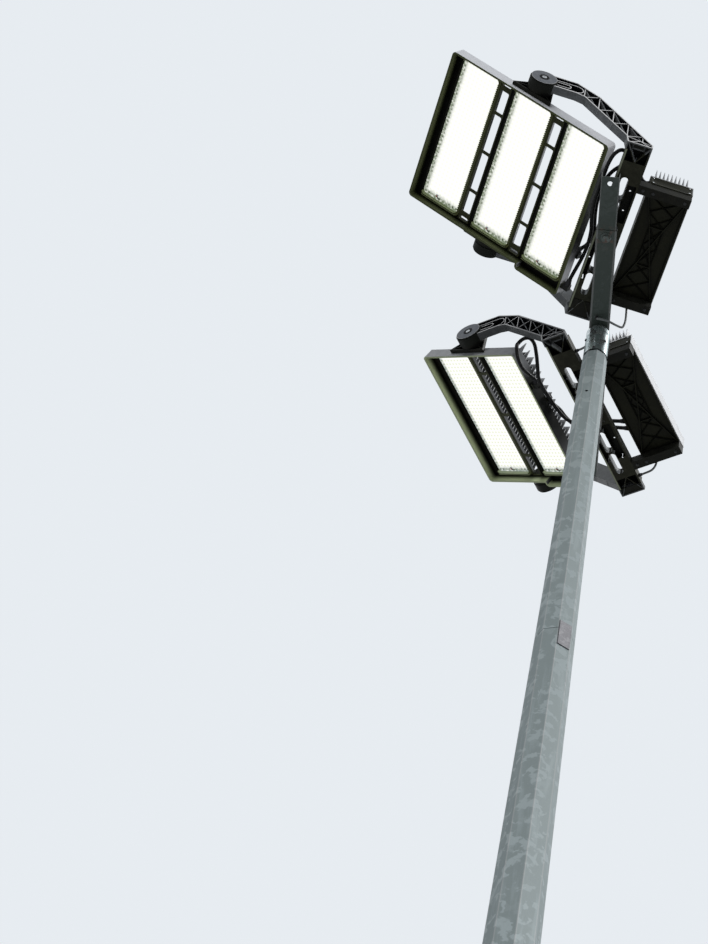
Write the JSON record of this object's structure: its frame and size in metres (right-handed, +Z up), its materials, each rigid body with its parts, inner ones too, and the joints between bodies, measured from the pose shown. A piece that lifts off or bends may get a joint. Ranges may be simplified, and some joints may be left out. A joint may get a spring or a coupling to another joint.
{
  "type": "sports-ground floodlight column",
  "caption": "Tall tapered octagonal galvanised column on an anchor plate, with a crossarm carrying tilting LED floodlights on cast truss brackets.",
  "frame": {"origin": "centre of the anchor plate's underside, on the shaft's axis", "axes": "+Z up along the shaft; the crossarm runs along Y, and the floodlights hang out towards -X"},
  "size_m": [1.3388, 2.1613, 12.9039],
  "materials": {
    "shaft_zinc": "hot-dip galvanised, weathered, blotched spangle",
    "bright_zinc": "new galvanised, bright",
    "arm_steel": "galvanised, dull grey-green",
    "black_casting": "die-cast, black coat",
    "grey_casting": "die-cast, grey coat",
    "fin_aluminium": "bare extruded",
    "led_glass": "lit LED module under clear cover",
    "cable_rubber": "black rubber sheath",
    "conduit_grey": "grey flexible sheath"
  },
  "bodies": {
    "column": {"base_plate": "shaft_zinc", "pole_lower": "shaft_zinc", "service_door": "shaft_zinc", "pole_upper": "shaft_zinc", "joint_patch": "shaft_zinc", "head_sleeve": "bright_zinc", "crossarm_main": "arm_steel", "crossarm_extensions": "arm_steel", "swivel_bolts": "arm_steel"},
    "near_bracket": {"near_bar": "black_casting", "near_arm_front": "grey_casting", "near_arm_rear": "grey_casting", "near_hub_caps": "grey_casting", "near_driver_mounts": "black_casting", "near_driver_housing": "black_casting", "near_driver_fins": "fin_aluminium", "near_cables": "cable_rubber", "near_conduit": "conduit_grey"},
    "near_lamp": {"near_frame": "black_casting", "near_hubs": "black_casting", "near_led_panels": "led_glass", "near_ladders": "black_casting", "near_heat_sinks": "grey_casting"},
    "far_bracket": {"far_bar": "black_casting", "far_arm_front": "grey_casting", "far_arm_rear": "grey_casting", "far_hub_caps": "grey_casting", "far_driver_mounts": "black_casting", "far_driver_housing": "black_casting", "far_driver_fins": "fin_aluminium", "far_cables": "cable_rubber", "far_conduit": "conduit_grey", "far_feed": "conduit_grey"},
    "far_lamp": {"far_frame": "black_casting", "far_hubs": "black_casting", "far_led_panels": "led_glass", "far_ladders": "black_casting", "far_heat_sinks": "grey_casting"}
  },
  "joints": [
    {"name": "near_swivel", "type": "hinge", "parent": "column", "child": "near_bracket", "pos_m": [0, -0.466, 12.297], "axis": [0, 0, 1], "range_deg": [-14, 18], "deforming": ["near_conduit"]},
    {"name": "near_tilt", "type": "hinge", "parent": "near_bracket", "child": "near_lamp", "pos_m": [-0.43857, -0.57535, 12.645], "axis": [-0.2419, 0.9703, 0], "range_deg": [-30, 40], "deforming": ["near_cables"]},
    {"name": "far_swivel", "type": "hinge", "parent": "column", "child": "far_bracket", "pos_m": [0, 0.466, 12.297], "axis": [0, 0, 1], "range_deg": [-4, 28], "deforming": ["far_feed"]},
    {"name": "far_tilt", "type": "hinge", "parent": "far_bracket", "child": "far_lamp", "pos_m": [-0.39909, 0.6782, 12.645], "axis": [0.4695, 0.8829, 0], "range_deg": [-30, 40], "deforming": ["far_cables"]}
  ]
}
